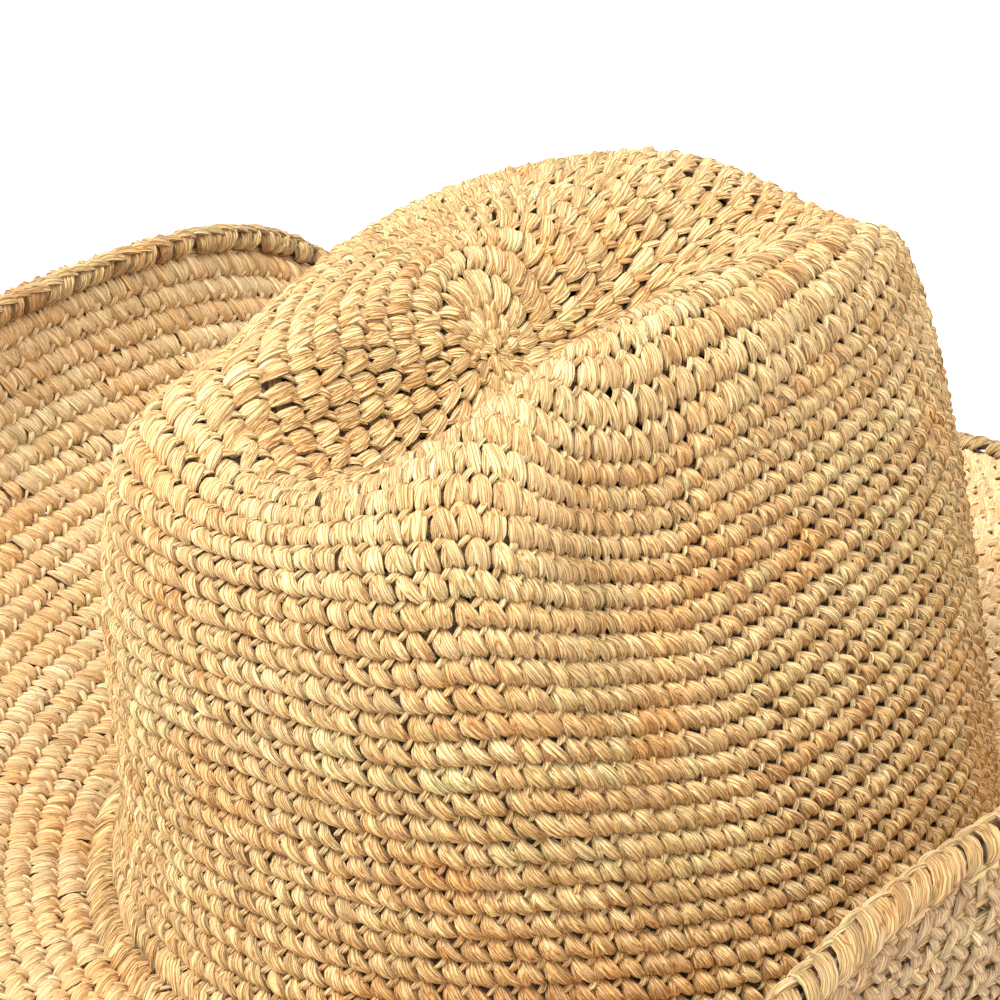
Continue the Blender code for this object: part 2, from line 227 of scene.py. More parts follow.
def crease_and_dents(x, y, z, crown):
    """The crown's lean, its centre crease and the dent in each side."""
    up = z / CROWN_HEIGHT
    back = y / (CROWN_LENGTH / 2)
    z = z + up * crown * (BACK_RISE * back + (SIDE_RISE + SIDE_RISE_BACK * back) * x)
    across = x * math.cos(CREASE_TURN) + y * math.sin(CREASE_TURN) - CREASE_OFFSET
    valley = np.exp(-np.abs(across / CREASE_HALF_WIDTH) ** CREASE_SHARPNESS)
    z = z - through(CREASE_STATIONS, CREASE_DEPTHS, y) * valley * smooth(CREASE_FOOT, 1, up) * crown
    along = y - DENT_AT[0]
    along = along / np.where(along < 0, *DENT_HALF_LENGTHS)
    above = (up - DENT_AT[1]) / DENT_HALF_HEIGHT
    dent = DENT_DEPTH * np.exp(-along**2 - above**2) * crown
    x = x - np.sign(x) * dent * smooth(*DENT_FADE, np.abs(x))
    return x, y, z


def brim_run(out, nx, ny):
    """Distance out and height gained by brim that leaves the crown along (nx, ny)."""
    back = smooth(-BACK_BLEND, BACK_BLEND, ny)
    side = smooth(SIDE_FROM_FRONT + (SIDE_FROM_BACK - SIDE_FROM_FRONT) * back, 1.0, np.abs(nx))
    bias = 1 - SIDE_CURL_BIAS * (smooth(BIAS_BLEND, -BIAS_BLEND, nx) - 0.5)
    share = out / BRIM_WIDTH
    run = np.zeros_like(out)
    rise = np.zeros_like(out)
    for i in range(BRIM_STEPS):
        t = share * (i + 0.5) / BRIM_STEPS
        angle = SIDE_START * side - BRIM_DIP * (1 - side) * (1 - DIP_EASE * t)
        angle = angle + SIDE_CURL * side * bias * (t + t * t) / 2
        run += np.cos(angle) * out / BRIM_STEPS
        rise += np.sin(angle) * out / BRIM_STEPS
    return run, rise


def row_slip(theta, s):
    """How far along the work the rounds have slipped from where they would lie evenly."""
    turned = np.degrees((theta + math.pi) % (2 * math.pi) - math.pi)
    share = smooth(*SLIP_START, turned) - smooth(*SLIP_END, turned)
    fade = np.clip((FILLET_END - s) / (FILLET_END - SLIP_RISE), 0, 1)
    return SLIP * share * smooth(0, SLIP_RISE, s) * fade


def hat_surface(theta, s):
    """Point of the raffia's outer face, before the hat is set on its origin."""
    theta, s = np.broadcast_arrays(np.asarray(theta, float), np.asarray(s, float))
    s = s + row_slip(theta, s)
    radius, z = profile(s)
    down_wall = smooth(SHOULDER_END, WALL_END, s)
    on_top = smooth(0, SHOULDER_END, s)
    top_ratio = (TOP_LENGTH - TOP_WIDTH) / (TOP_LENGTH + TOP_WIDTH)
    base_ratio = (CROWN_LENGTH - CROWN_WIDTH) / (CROWN_LENGTH + CROWN_WIDTH)
    below = s > SHOULDER_END
    ratio = np.where(below, top_ratio + (base_ratio - top_ratio) * down_wall, top_ratio * on_top)
    power = 2 + (TOP_SQUARENESS - 2) * np.where(below, 1 - down_wall, on_top)
    cos, sin = np.cos(theta), np.sin(theta)
    square = (np.abs(cos) ** power + np.abs(sin) ** power) ** (-1 / power)
    from_tip = 1 - smooth(0, WALL_END, s)
    x = radius * (1 - ratio) * cos * square + TIP_OFFSET[0] * from_tip
    y = radius * (1 + ratio) * sin * square + TIP_OFFSET[1] * from_tip
    nx = cos / (1 - base_ratio)
    ny = sin / (1 + base_ratio)
    length = np.hypot(nx, ny)
    nx, ny = nx / length, ny / length
    run, rise = brim_run(np.maximum(s - FILLET_END, 0), nx, ny)
    x, y, z = crease_and_dents(x + nx * run, y + ny * run, z, s < FILLET_END)
    return np.stack([x, y, z + rise], -1)


def unit(vectors):
    """Vectors scaled to length 1."""
    return vectors / np.maximum(np.linalg.norm(vectors, axis=-1, keepdims=True), 1e-12)


def directions(theta, s):
    """Outward normal, direction along the work and direction round it, at places on the raffia."""
    step = 1e-4
    near = np.maximum(s - step, 1e-5)
    away = unit(hat_surface(theta, near + 2 * step) - hat_surface(theta, near))
    wide = np.maximum(s, 1e-3)
    around = hat_surface(theta + step, wide) - hat_surface(theta - step, wide)
    normal = unit(np.cross(away, around))
    return normal, away, np.cross(normal, away)


def set_on_origin():
    """Shift that puts the rim's box over the origin and its lowest parts on the floor."""
    theta = np.linspace(0, 2 * math.pi, 721)
    _, away, _ = directions(theta, np.full_like(theta, EDGE_CENTRE))
    centre = hat_surface(theta, np.full_like(theta, EDGE_CENTRE))
    outside = centre + away * EDGE_RADIUS
    middle = (outside.min(axis=0) + outside.max(axis=0)) / 2
    lowest = centre[:, 2].min() - RAFFIA / 2 - EDGE_RADIUS
    return np.array([-middle[0], -middle[1], -REST_FLAT - lowest])


SHIFT = set_on_origin()


# ---------------------------------------------------------------- mesh building

def tube_mesh(name, points, strand, creased=True):
    """Closed tubes as one mesh. points is tube x ring x side x 3, strand the same shape.

    strand holds, for the material, the distance across the fibres and along them in millimetres
    and a number that is different for each tube. What would reach below the floor is pressed flat.
    """
    tubes, rings, sides, _ = points.shape
    points = np.concatenate([points[..., :2], np.maximum(points[..., 2:], LEAST_FLOOR)], -1)
    index = np.arange(tubes * rings * sides).reshape(tubes, rings, sides)
    turned = np.roll(index, -1, axis=2)
    walls = np.stack([index[:, :-1], turned[:, :-1], turned[:, 1:], index[:, 1:]], -1).reshape(-1, 4)
    caps = np.concatenate([index[:, 0, ::-1], index[:, -1]])
    mesh = bpy.data.meshes.new(name)
    mesh.vertices.add(points.size // 3)
    mesh.vertices.foreach_set("co", points.astype(np.float32).ravel())
    corners = np.concatenate([walls.ravel(), caps.ravel()]).astype(np.int32)
    starts = np.concatenate([
        np.arange(len(walls)) * 4,
        len(walls) * 4 + np.arange(len(caps)) * sides,
    ]).astype(np.int32)
    mesh.loops.add(len(corners))
    mesh.loops.foreach_set("vertex_index", corners)
    mesh.polygons.add(len(starts))
    mesh.polygons.foreach_set("loop_start", starts)
    mesh.update(calc_edges=True)
    mesh.validate()
    mesh.shade_smooth()
    if creased:
        ends = np.zeros(len(mesh.edges) * 2, np.int32)
        mesh.edges.foreach_get("vertices", ends)
        along = np.abs(ends[::2] - ends[1::2]) == sides
        mesh.attributes.new("sharp_edge", "BOOLEAN", "EDGE").data.foreach_set("value", along)
    made = mesh.attributes.new("strand", "FLOAT_VECTOR", "POINT")
    made.data.foreach_set("vector", strand.astype(np.float32).ravel())
    return mesh


def add_piece(name, mesh, finish, nodes, body="hat"):
    """Put a mesh in the scene as a piece that stands for CAD nodes."""
    mesh.materials.append(finish)
    piece = bpy.data.objects.new(name, mesh)
    bpy.context.scene.collection.objects.link(piece)
    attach(piece, body)
    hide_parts(*nodes)
    return piece


def sweep(points, side, normal, half_width, half_height, sides, rib, rng, under=0.5, roll=0.0, run_of=0.0):
    """Rounded bundles swept along points, with ribs along them where strands of fibre part.

    points, side and normal are tube x ring x 3; the half sizes are tube x ring. More of the
    section's corners are spent on the outside than under it, by the share under. roll turns the
    section about the run. run_of numbers the strand of raffia that each bundle is made of.
    """
    tubes, rings, _ = points.shape
    turn = np.arange(sides) / sides * 2 - 1
    turn = math.pi * np.sign(turn) * np.abs(turn) ** (1 + under)
    in_or_out = np.where(np.arange(sides) % 2 == 0, 1, -1)
    ribs = 1 + rib * in_or_out * (0.4 + 0.9 * rng.random((tubes, 1, sides)))
    angle = turn + 0.12 * rng.standard_normal((tubes, 1, sides)) + np.zeros((1, rings, 1))
    lean = np.broadcast_to(np.asarray(roll, float), (tubes, rings))[..., None]
    flat_x = np.sin(angle) * half_width[..., None] * ribs
    flat_z = np.cos(angle) * half_height[..., None] * ribs
    x = flat_x * np.cos(lean) - flat_z * np.sin(lean)
    z = flat_x * np.sin(lean) + flat_z * np.cos(lean)
    place = points[:, :, None] + side[:, :, None] * x[..., None] + normal[:, :, None] * z[..., None]
    run = np.cumsum(np.linalg.norm(np.diff(points, axis=1, prepend=points[:, :1]), axis=-1), axis=1)
    strand = np.stack(np.broadcast_arrays(
        turn * half_width[..., None] / MM,
        run[..., None] / MM,
        np.reshape(run_of, (-1, 1, 1)) * 7.31 + rng.random((tubes, 1, 1)),
    ), -1)
    return place, strand


# ---------------------------------------------------------------- rounds of stitches

def round_angles(s, count):
    """Angles of count places spaced evenly along a round, one more to close it, and its length."""
    theta = np.linspace(0, 2 * math.pi, 1441)
    ring = hat_surface(theta, np.full_like(theta, s))
    run = np.concatenate([[0], np.cumsum(np.linalg.norm(np.diff(ring, axis=0), axis=1))])
    return np.interp(np.linspace(0, run[-1], count + 1), run, theta), run[-1]


def varied(rng, count, share):
    """A factor near 1 for each of count stitches."""
    return 1 + share * rng.standard_normal((count, 1))


def scattered(rng, count, amount):
    """A shift near 0 for each of count stitches."""
    return amount * rng.standard_normal((count, 1))


# What a row of stitches_of() holds: the stitch's angle, its distance from the tip, its width as an
# angle and in metres, the number of its strand of raffia, and its height as a share of a full round's
ANGLE, DISTANCE, TURN, WIDTH, STRAND, SHARE = range(6)


def stitches_of(first, last):
    """Every stitch of rounds first to last, one to a row. Low rounds have small stitches."""
    rounds = [((k + 0.5) * ROW, 1.0) for k in range(first, last)]
    if first == 0:
        rounds[:1] = [(place * ROW, share) for place, share in TIP_ROUNDS]
    rows = []
    rng = np.random.default_rng(first + 5)
    for number, (s, share) in enumerate(rounds):
        _, length = round_angles(s, 1)
        count = max(FIRST_STITCHES, round(length / (STITCH * (0.4 + 0.6 * share))))
        theta, length = round_angles(s, count)
        middle = (theta[:-1] + theta[1:]) / 2
        rows.append(np.stack([
            middle,
            np.full(count, s),
            np.diff(theta),
            np.full(count, length / count),
            np.floor(np.arange(count) / STRAND_STITCHES + rng.random()) + ROUND_STRANDS * (first + number),
            np.full(count, share),
        ], -1))
    return np.concatenate(rows)


def on_work(stitch, x, y, depth):
    """Points and directions at places in the stitches' own widths, heights and depths."""
    theta = stitch[:, ANGLE, None] + x * stitch[:, TURN, None]
    s = np.maximum(stitch[:, DISTANCE, None] + y * ROW * stitch[:, SHARE, None], NEAREST_TIP)
    normal, away, side = directions(theta, s)
    return hat_surface(theta, s) + SHIFT - normal * depth[..., None], normal, away, side


def stations(count, *values):
    """Smooth curve through values at evenly spaced stations, at count places."""
    return through(np.linspace(0, 1, len(values)), values, np.linspace(0, 1, count))


# The two bundles of a stitch. Five stations from the tip's side outwards: place across, half width
# (both in stitch widths), depth and half thickness (both in millimetres); then the share of the
# slant that the bundle takes and its ends along the work, in rounds.
RIGHT_LEG = (
    (-0.02, 0.05, 0.10, 0.15, 0.20),
    (0.12, 0.30, 0.33, 0.27, 0.10),
    (2.6, 0.75, 0.55, 0.95, 2.5),
    (0.45, 1.00, 1.10, 0.85, 0.35),
    1.0, -0.60, 0.62,
)
LEFT_LEG = (
    (-0.12, -0.21, -0.25, -0.27, -0.28),
    (0.08, 0.20, 0.24, 0.20, 0.08),
    (2.6, 1.00, 0.80, 1.05, 2.4),
    (0.45, 0.90, 0.95, 0.75, 0.35),
    0.45, -0.56, 0.55,
)


def legs(stitch, shape, rings, sides, rng, spread):
    """One of the two bundles of each stitch on the right side, widened by the factor spread.

    The slant grows over the shoulder. The bundles stand highest on the crown's side, and lie lower
    on its top and on the brim.
    """
    s = stitch[:, DISTANCE, None]
    slant = 0.16 + 0.26 * smooth(SHOULDER_END - 0.02, SHOULDER_END + 0.03, s)
    rise = 0.75 + 0.25 * smooth(SHOULDER_END - 0.02, SHOULDER_END, s)
    rise = (rise - 0.25 * smooth(FILLET_END, FILLET_END + 0.01, s)) * stitch[:, SHARE, None]
    across, widths, depths, heights, share, start, end = shape
    n = len(stitch)
    y = np.linspace(start, end, rings) * varied(rng, n, 0.04) + scattered(rng, n, 0.03)
    lean = share * (slant + scattered(rng, n, 0.13))
    x = stations(rings, *across) * varied(rng, n, 0.08) + lean * y + scattered(rng, n, 0.03)
    depth = stations(rings, *depths) * varied(rng, n, 0.05) * MM + scattered(rng, n, 0.10 * MM)
    depth = FLAT_DEPTH + (depth - FLAT_DEPTH) * rise
    width = stations(rings, *widths) * varied(rng, n, 0.13) * stitch[:, WIDTH, None] * spread
    height = stations(rings, *heights) * varied(rng, n, 0.12) * MM * rise
    points, normal, _, side = on_work(stitch, x, y, depth)
    roll = scattered(rng, n, 0.16) - np.sign(across[1]) * 0.15
    strands = stitch[:, STRAND]
    return sweep(points, side, normal, width, height, sides, 0.16, rng, roll=roll, run_of=strands)


def joins(stitch, rings, sides, rng):
    """The short strand that slants up from each stitch to the next one."""
    n = len(stitch)
    length = np.linspace(-0.5, 0.5, rings)
    x = 0.42 + 0.50 * length * varied(rng, n, 0.15) + scattered(rng, n, 0.04)
    y = -0.39 - 0.60 * length * varied(rng, n, 0.10)
    depth = stations(rings, 2.2, 1.00, 0.85, 1.15, 2.4) * MM * varied(rng, n, 0.08)
    width = stations(rings, 0.40, 0.75, 0.82, 0.75, 0.40) * MM * varied(rng, n, 0.15)
    points, normal, _, side = on_work(stitch, x, y, depth)
    return sweep(points, side, normal, width, width * 0.8, sides, 0.12, rng, run_of=stitch[:, STRAND] + 1)


# The flat strips of a stitch on the wrong side: each one's ends along the work in rounds, how far it
# leans across for each round, and how far it is shifted across, both in stitch widths
WRONG_STRIPS = (
    (-0.62, 0.06, -0.65, -0.26),
    (-0.20, 0.50, 0.60, 0.24),
    (0.05, 0.66, -0.35, -0.04),
)


def wrong_side(stitch, rings, sides, rng):
    """Three flat crossing strips of each stitch on the inside of the crown and under the brim."""
    made = []
    n = len(stitch)
    strands = stitch[:, STRAND]
    for start, end, lean, shift in WRONG_STRIPS:
        y = np.linspace(start, end, rings) * varied(rng, n, 0.06)
        slant = lean + scattered(rng, n, 0.30)
        x = slant * y + shift + scattered(rng, n, 0.09)
        depth = stations(rings, 2.8, 3.50, 3.55, 2.8) * MM + scattered(rng, n, 0.15 * MM)
        width = stations(rings, 0.18, 0.32, 0.34, 0.18) * stitch[:, WIDTH, None]
        width = width * varied(rng, n, 0.15)
        height = stations(rings, 0.20, 0.30, 0.32, 0.20) * MM
        points, normal, _, side = on_work(stitch, x, y, depth)
        roll = scattered(rng, n, 0.12)
        bundle = sweep(points, -side, -normal, width, height, sides, 0.10, rng, roll=roll, run_of=strands)
        made.append(bundle)
    return tuple(np.concatenate(parts) for parts in zip(*made))


def core(distances, half_width, rng):
    """Strands of raffia that run round inside the rounds of stitches, at distances from the tip."""
    turns = []
    count = 160
    sides = 6
    for s in distances:
        theta, _ = round_angles(s, count)
        normal, away, _ = directions(theta, np.full_like(theta, s))
        centre = hat_surface(theta, np.full_like(theta, s)) + SHIFT - normal * CORE_DEPTH
        angle = np.arange(sides) / sides * 2 * math.pi
        ring = centre[:, None] + half_width * np.sin(angle)[:, None] * away[:, None]
        turns.append(ring + 0.7 * MM * np.cos(angle)[:, None] * normal[:, None])
    points = np.stack(turns)
    strand = np.zeros_like(points)
    strand[..., 0] = np.arange(sides)
    strand[..., 1] = np.arange(count + 1)[None, :, None] * 3.0
    strand[..., 2] = rng.random((len(turns), 1, 1)) * 100
    return points, strand


# ---------------------------------------------------------------- materials

def ramp(tree, factor, stops):
    """Colour ramp from (place, colour) stops."""
    node = tree.nodes.new("ShaderNodeValToRGB")
    while len(node.color_ramp.elements) < len(stops):
        node.color_ramp.elements.new(0.5)
    for element, (place, colour) in zip(node.color_ramp.elements, stops):
        element.position = place
        element.color = (*colour, 1)
    tree.links.new(factor, node.inputs["Fac"])
    return node.outputs["Color"]


def noise(tree, vector, scale, detail=2.0, roughness=0.5):
    """Noise of a scale over a vector."""
    node = tree.nodes.new("ShaderNodeTexNoise")
    node.inputs["Scale"].default_value = scale
    node.inputs["Detail"].default_value = detail
    node.inputs["Roughness"].default_value = roughness
    tree.links.new(vector, node.inputs["Vector"])
    return node.outputs["Fac"]


def tinted(tree, a, b):
    """Product of two colours."""
    node = tree.nodes.new("ShaderNodeMix")
    node.data_type = "RGBA"
    node.blend_type = "MULTIPLY"
    node.inputs["Factor"].default_value = 1.0
    tree.links.new(a, node.inputs["A"])
    tree.links.new(b, node.inputs["B"])
    return node.outputs["Result"]


def scaled(tree, vector, scale):
    """Vector times a vector."""
    node = tree.nodes.new("ShaderNodeVectorMath")
    node.operation = "MULTIPLY"
    node.inputs[1].default_value = scale
    tree.links.new(vector, node.inputs[0])
    return node.outputs["Vector"]


def new_material(name):
    """New material, its node tree and its shader."""
    made = bpy.data.materials.new(name)
    made.use_nodes = True
    return made, made.node_tree, made.node_tree.nodes["Principled BSDF"]


def maths(tree, kind, a, b):
    """Sum, product or other function of values or numbers."""
    node = tree.nodes.new("ShaderNodeMath")
    node.operation = kind
    for place, value in enumerate((a, b)):
        if isinstance(value, float):
            node.inputs[place].default_value = value
        else:
            tree.links.new(value, node.inputs[place])
    return node.outputs[0]


def wave(tree, vector, weights):
    """Sine of a weighted sum of a vector's parts."""
    node = tree.nodes.new("ShaderNodeVectorMath")
    node.operation = "DOT_PRODUCT"
    node.inputs[1].default_value = weights
    tree.links.new(vector, node.inputs[0])
    return maths(tree, "SINE", node.outputs["Value"], 0.0)


def cells(tree, vector, feature, output):
    """Irregular cells of size 1 over a vector."""
    node = tree.nodes.new("ShaderNodeTexVoronoi")
    node.feature = feature
    node.inputs["Scale"].default_value = 1.0
    tree.links.new(vector, node.inputs["Vector"])
    return node.outputs[output]


def relief(tree, shader, height, strength, distance):
    """Bump from a height."""
    bump = tree.nodes.new("ShaderNodeBump")
    bump.inputs["Strength"].default_value = strength
    bump.inputs["Distance"].default_value = distance
    tree.links.new(height, bump.inputs["Height"])
    tree.links.new(bump.outputs["Normal"], shader.inputs["Normal"])


def strand_of(tree):
    """Distances across and along the fibres in millimetres, and the strand's number."""
    node = tree.nodes.new("ShaderNodeAttribute")
    node.attribute_name = "strand"
    return node.outputs["Vector"]


def softened(contrast, stops):
    """Stops with their colours brought nearer to white."""
    return [(place, tuple(1 - (1 - part) * contrast for part in colour)) for place, colour in stops]


def raffia(name, stops, contrast=1.0):
    """Raffia: split strips with painted shade in the gaps between them, a colour for each strand and
    patches over the hat.
    """
    made, tree, shader = new_material(name)
    strand = strand_of(tree)
    place = tree.nodes.new("ShaderNodeTexCoord").outputs["Object"]
    strips = scaled(tree, strand, (2.1, 0.12, 9.0))
    gap = cells(tree, strips, "DISTANCE_TO_EDGE", "Distance")
    each = cells(tree, strips, "F1", "Color")
    fine = noise(tree, scaled(tree, strand, (5.0, 0.16, 9.0)), 2.0, 3.0, 0.65)
    own = noise(tree, scaled(tree, strand, (0.0, 0.01, 0.45)), 1.7, 0.0)
    patch = noise(tree, place, 50.0, 2.0)
    base = ramp(tree, own, stops)
    plain = (1.0, 1.0, 1.0)
    # Painted shade: dark lines at the edges of the strips, where the bump sinks into creases between them.
    crack_shade = [(0.0, (0.34, 0.20, 0.09)), (0.05, (0.80, 0.70, 0.56)), (0.13, plain)]
    strip = [(0.25, (0.84, 0.80, 0.74)), (0.5, plain), (0.8, (1.08, 1.11, 1.16))]
    # Fine streaks along the fibres: in part their own colour, in part painted shade in the fine creases of
    # the bump.
    streak_and_crease_shade = [(0.30, (0.72, 0.62, 0.50)), (0.50, plain), (0.75, (1.07, 1.09, 1.12))]
    tone = [(0.32, (1.03, 0.92, 0.76)), (0.48, plain), (0.72, (0.98, 1.02, 0.96))]
    colour = tinted(tree, base, ramp(tree, patch, tone))
    for factor, layer in ((each, strip), (fine, streak_and_crease_shade), (gap, crack_shade)):
        colour = tinted(tree, colour, ramp(tree, factor, softened(contrast, layer)))
    tree.links.new(colour, shader.inputs["Base Color"])
    shader.inputs["Roughness"].default_value = 0.55
    shader.inputs["Sheen Weight"].default_value = 0.10
    height = maths(tree, "MINIMUM", maths(tree, "MULTIPLY", gap, 5.0), 1.0)
    crumple = noise(tree, scaled(tree, strand, (0.7, 0.40, 9.0)), 1.0, 2.0)
    height = maths(tree, "ADD", height, maths(tree, "MULTIPLY", fine, 0.9))
    height = maths(tree, "ADD", height, maths(tree, "MULTIPLY", crumple, 3.0))
    relief(tree, shader, height, 0.9, 0.00028)
    return made


def steel(name):
    """Drawn steel wire with fine lines along it and a few dull spots."""
    made, tree, shader = new_material(name)
    strand = strand_of(tree)
    lines = noise(tree, scaled(tree, strand, (9.0, 0.05, 1.0)), 2.0, 2.0)
    spots = noise(tree, strand, 0.6, 3.0)
    colour = ramp(tree, lines, [(0.35, (0.42, 0.42, 0.44)), (0.6, (0.62, 0.62, 0.64))])
    tree.links.new(colour, shader.inputs["Base Color"])
    dullness = ramp(tree, spots, [(0.4, (0.28,) * 3), (0.65, (0.5,) * 3)])
    tree.links.new(dullness, shader.inputs["Roughness"])
    shader.inputs["Metallic"].default_value = 1.0
    relief(tree, shader, lines, 0.3, 0.00003)
    return made


def cloth(name, colours, across, along):
    """Woven tape: ribs of a pitch across and along it in millimetres, and slight shading."""
    made, tree, shader = new_material(name)
    strand = strand_of(tree)
    weft = wave(tree, strand, (0.0, 2 * math.pi / along, 0.0))
    warp = wave(tree, strand, (2 * math.pi / across, 0.0, 0.0))
    cloudy = noise(tree, strand, 0.25, 3.0)
    weave = maths(tree, "ADD", maths(tree, "MULTIPLY", weft, 0.6), maths(tree, "MULTIPLY", warp, 0.4))
    share = maths(tree, "ADD", maths(tree, "MULTIPLY", weave, 0.22), cloudy)
    dark, light = colours
    colour = ramp(tree, share, [(0.25, dark), (0.75, light)])
    tree.links.new(colour, shader.inputs["Base Color"])
    shader.inputs["Roughness"].default_value = 0.85
    shader.inputs["Sheen Weight"].default_value = 0.15
    relief(tree, shader, weave, 0.8, 0.00008)
    return made


def yarn(name, colours):
    """Sewing thread of three twisted plies."""
    made, tree, shader = new_material(name)
    strand = strand_of(tree)
    plies = wave(tree, strand, (7.5, 4.5, 0.0))
    fuzz = noise(tree, strand, 6.0, 2.0)
    share = maths(tree, "ADD", maths(tree, "MULTIPLY", plies, 0.25), fuzz)
    dark, light = colours
    tree.links.new(ramp(tree, share, [(0.25, dark), (0.7, light)]), shader.inputs["Base Color"])
    shader.inputs["Roughness"].default_value = 0.7
    relief(tree, shader, plies, 0.8, 0.00012)
    return made


# Colours of the raffia, from which each strand takes one. All but the crown's carry painted light or
# shade, as said above each.
STRAW = [
    (0.25, (0.72, 0.44, 0.18)),
    (0.42, (0.81, 0.55, 0.25)),
    (0.58, (0.88, 0.65, 0.33)),
    (0.74, (0.80, 0.66, 0.33)),
]
# Brim: lighter than the crown's straw, in part painted light on the brim
LIT_BRIM_STRAW = [
    (0.25, (0.86, 0.55, 0.24)),
    (0.45, (0.92, 0.63, 0.31)),
    (0.60, (0.95, 0.70, 0.38)),
    (0.76, (0.93, 0.72, 0.40)),
]
# Rim and the brim's cores: the crown's straw darkened, in part painted shade on the rim, and painted shade
# in the brim's gaps
SHADED_EDGE_STRAW = [
    (0.25, (0.54, 0.31, 0.12)),
    (0.45, (0.62, 0.41, 0.17)),
    (0.60, (0.69, 0.49, 0.23)),
    (0.76, (0.63, 0.48, 0.23)),
]
# Wrong side: darker than the right side's straw, painted shade on the strips seen through the gaps
SHADED_INNER_STRAW = [
    (0.25, (0.58, 0.37, 0.18)),
    (0.50, (0.69, 0.47, 0.24)),
    (0.75, (0.75, 0.55, 0.31)),
]
# Cores: near-black, painted shade in the gaps between stitches
CORE_SHADE_STRAW = [
    (0.25, (0.22, 0.12, 0.05)),
    (0.50, (0.32, 0.18, 0.07)),
    (0.75, (0.38, 0.23, 0.10)),
]


# ---------------------------------------------------------------- the raffia pieces


def stitch_pieces(node, first, last, finish, inner, deep, rings, sides, spread, core_width):
    """Right side, joins, wrong side and cores of a run of rounds, in pieces of a moderate size."""
    rng = np.random.default_rng(first + 11)
    stitch = stitches_of(first, last)
    groups = np.array_split(np.arange(len(stitch)), math.ceil(len(stitch) / PIECE_STITCHES))
    for number, group in enumerate(groups):
        part = stitch[group]
        bundles = [legs(part, shape, rings, sides, rng, spread) for shape in (LEFT_LEG, RIGHT_LEG)]
        points, strand = (np.concatenate(parts) for parts in zip(*bundles))
        mesh = tube_mesh(f"{node}_stitches_{number + 1}", points, strand)
        add_piece(mesh.name, mesh, finish, [node])
    groups = np.array_split(np.arange(len(stitch)), math.ceil(len(stitch) / (4 * PIECE_STITCHES)))
    for number, group in enumerate(groups):
        for kind, made, look in (
            ("joins", joins(stitch[group], 5, 8, rng), finish),
            ("wrong_side", wrong_side(stitch[group], 4, 6, rng), inner),
        ):
            mesh = tube_mesh(f"{node}_{kind}_{number + 1}", *made)
            add_piece(mesh.name, mesh, look, [node])
    distances = (np.arange(first, last) + 0.5) * ROW
    if last == ROUNDS:
        distances = np.append(distances, BRIM_END)
    # The cores take a dark finish: painted shade in the gaps between the stitches.
    mesh = tube_mesh(f"{node}_cores", *core(distances, core_width, rng))
    add_piece(mesh.name, mesh, deep, [node])


def rim_place(around, angle, radius):
    """Points at an angle and a radius round the rim's wire, with their outward and side directions.

    The angle starts at the rim's outermost line and grows towards the raffia's right side.
    """
    normal, away, side = directions(around, np.full_like(around, EDGE_CENTRE))
    centre = hat_surface(around, np.full_like(around, EDGE_CENTRE)) + SHIFT - normal * RAFFIA / 2
    out = np.cos(angle)[..., None] * away + np.sin(angle)[..., None] * normal
    return centre + radius[..., None] * out, out, side


def edge_wraps(finish):
    """Flat bundles that wrap the rim's round, each lying over the next like a shingle."""
    rng = np.random.default_rng(31)
    _, length = round_angles(EDGE_CENTRE, 1)
    count = round(length / WRAP_PITCH)
    theta, _ = round_angles(EDGE_CENTRE, count)
    theta = theta[:-1] + 0.12 * np.diff(theta) * rng.standard_normal(count)
    rings = 11
    angle = np.linspace(-WRAP_REACH, WRAP_REACH, rings) * varied(rng, count, 0.03)
    slant = (WRAP_SLANT / length * 2 * math.pi) * varied(rng, count, 0.35)
    around = theta[:, None] + slant * angle / WRAP_REACH
    radius = (EDGE_RADIUS - WRAP_INSET) * varied(rng, count, 0.05)
    points, out, side = rim_place(around, angle, radius + np.zeros_like(angle))
    width = stations(rings, 0.5, 0.9, 1.0, 0.9, 0.5) * WRAP_HALF_WIDTH * varied(rng, count, 0.12)
    height = stations(rings, 0.5, 1.0, 1.0, 1.0, 0.5) * WRAP_HALF_HEIGHT * varied(rng, count, 0.1)
    roll = 0.27 + scattered(rng, count, 0.10)
    run_of = np.arange(count) // STRAND_STITCHES
    made = sweep(points, -side, out, width, height, 12, 0.14, rng, roll=roll, run_of=run_of)
    mesh = tube_mesh("brim_edge_wraps", *made)
    add_piece(mesh.name, mesh, finish, ["brim_edge"])


def edge_line(finish):
    """Overlapping strands that run along the rim, a little above its outermost line."""
    rng = np.random.default_rng(32)
    _, length = round_angles(EDGE_CENTRE, 1)
    count = round(length / LINE_PITCH)
    theta, _ = round_angles(EDGE_CENTRE, count)
    rings = 7
    along = np.linspace(-0.85, 0.85, rings) * varied(rng, count, 0.1)
    around = theta[:-1, None] + along * np.diff(theta)[:, None]
    angle = LINE_ANGLE - 0.34 * along + scattered(rng, count, 0.06)
    radius = EDGE_RADIUS * stations(rings, 0.84, 1.04, 1.10, 1.04, 0.84) + np.zeros_like(angle)
    points, out, side = rim_place(around, angle, radius)
    across = unit(np.cross(out, side))
    width = stations(rings, 0.4, 0.9, 1.0, 0.9, 0.4) * LINE_HALF_WIDTH * varied(rng, count, 0.15)
    run_of = np.arange(count) // STRAND_STITCHES
    made = sweep(points, across, out, width, width * 0.7, 8, 0.12, rng, run_of=run_of)
    mesh = tube_mesh("brim_edge_line", *made)
    add_piece(mesh.name, mesh, finish, ["brim_edge"])


